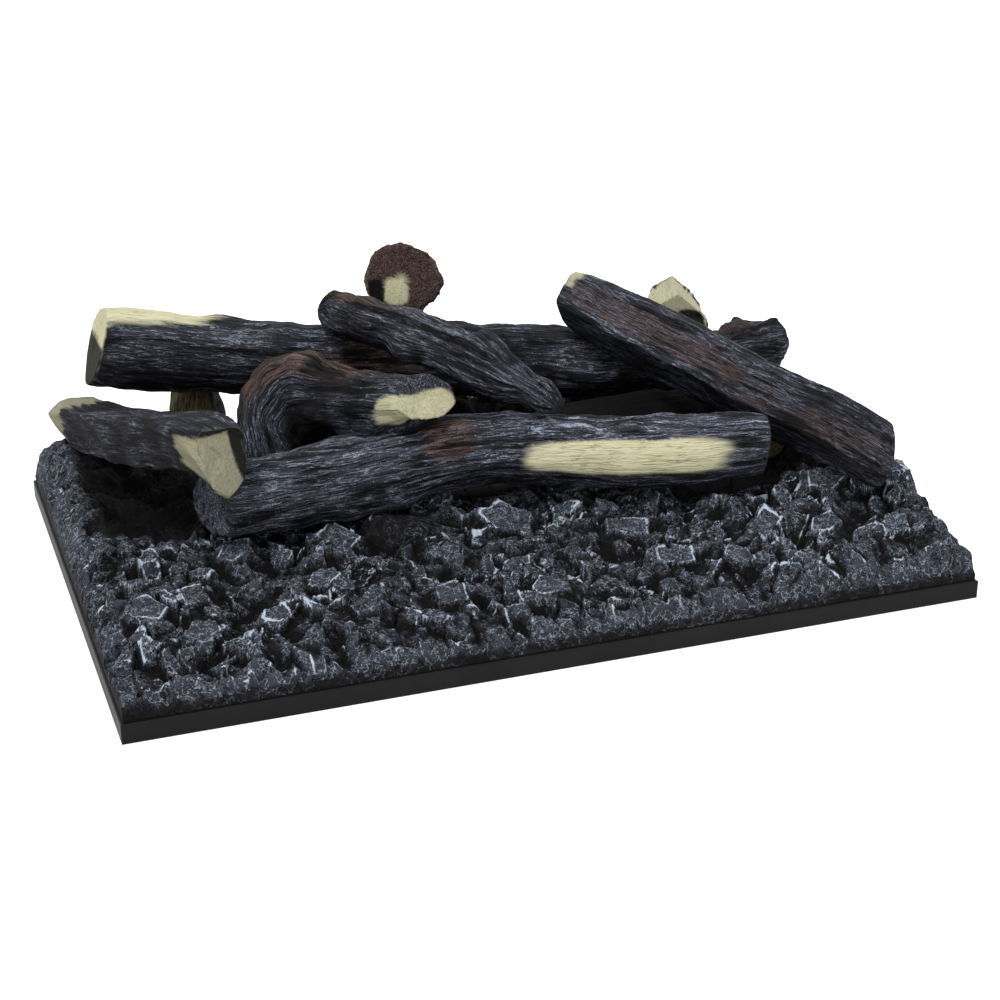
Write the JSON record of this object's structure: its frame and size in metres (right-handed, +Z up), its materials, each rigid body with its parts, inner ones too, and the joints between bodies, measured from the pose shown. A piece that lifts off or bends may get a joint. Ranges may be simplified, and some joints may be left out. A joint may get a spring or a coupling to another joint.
{
  "type": "gas log set",
  "caption": "Sheet-steel tray with a cast ember bed, a twin-tube gas burner with pilot hidden in its slots, and charred, split cast logs stacked over it.",
  "frame": {"origin": "on the floor at the middle of the tray's footprint", "axes": "+X along the front to the right, +Y to the back, +Z up"},
  "size_m": [0.68, 0.489, 0.23],
  "materials": {
    "black_paint": "satin black heat paint",
    "ember_casting": "matt cast, dark grey with pale brushed crests",
    "log_ceramic": "matt cast, charred bark with pale splits",
    "burner_steel": "stainless tube",
    "bracket_steel": "plated sheet",
    "screw_steel": "plated",
    "orifice_brass": "turned",
    "inlet_brass": "milled",
    "electrode_ceramic": "white glaze",
    "tube_aluminium": "drawn tube"
  },
  "bodies": {
    "hearth": {"base_plate": "black_paint", "ember_bed": "ember_casting", "front_burner_tube": "burner_steel", "rear_burner_tube": "burner_steel", "crossover_tube": "burner_steel", "burner_end_caps": "burner_steel", "burner_brackets": "bracket_steel", "bracket_screws": "screw_steel", "mixer_tube": "burner_steel", "mixer_end_cap": "burner_steel", "orifice_spud": "orifice_brass", "inlet_block": "inlet_brass", "inlet_bracket": "bracket_steel", "pilot_bracket": "bracket_steel", "pilot_burner": "burner_steel", "thermocouple": "burner_steel", "spark_electrode": "electrode_ceramic", "pilot_tube": "tube_aluminium", "low_centre_log": "log_ceramic", "back_left_log": "log_ceramic", "low_right_log": "log_ceramic", "front_log": "log_ceramic", "left_split_log": "log_ceramic", "rear_log": "log_ceramic", "crooked_log": "log_ceramic"},
    "shutter": {"air_shutter": "bracket_steel"},
    "branch": {"branch_log": "log_ceramic"},
    "round_end": {"round_end_log": "log_ceramic"},
    "crossing": {"crossing_log": "log_ceramic"},
    "rear_right": {"rear_right_log": "log_ceramic"},
    "small_rear": {"small_rear_log": "log_ceramic"}
  },
  "joints": [
    {"name": "air_shutter_turn", "type": "hinge", "parent": "hearth", "child": "shutter", "pos_m": [0, 0.188, 0.03], "axis": [0, 1, 0], "range_deg": [0, 60]},
    {"name": "branch_lift_off", "type": "slide", "parent": "hearth", "child": "branch", "axis": [0, 0, 1], "range_m": [0, 0.3]},
    {"name": "round_end_lift_off", "type": "slide", "parent": "hearth", "child": "round_end", "axis": [0, 0, 1], "range_m": [0, 0.3]},
    {"name": "crossing_lift_off", "type": "slide", "parent": "hearth", "child": "crossing", "axis": [0, 0, 1], "range_m": [0, 0.3]},
    {"name": "rear_right_lift_off", "type": "slide", "parent": "hearth", "child": "rear_right", "axis": [0, 0, 1], "range_m": [0, 0.3]},
    {"name": "small_rear_lift_off", "type": "slide", "parent": "hearth", "child": "small_rear", "axis": [0, 0, 1], "range_m": [0, 0.3]}
  ]
}
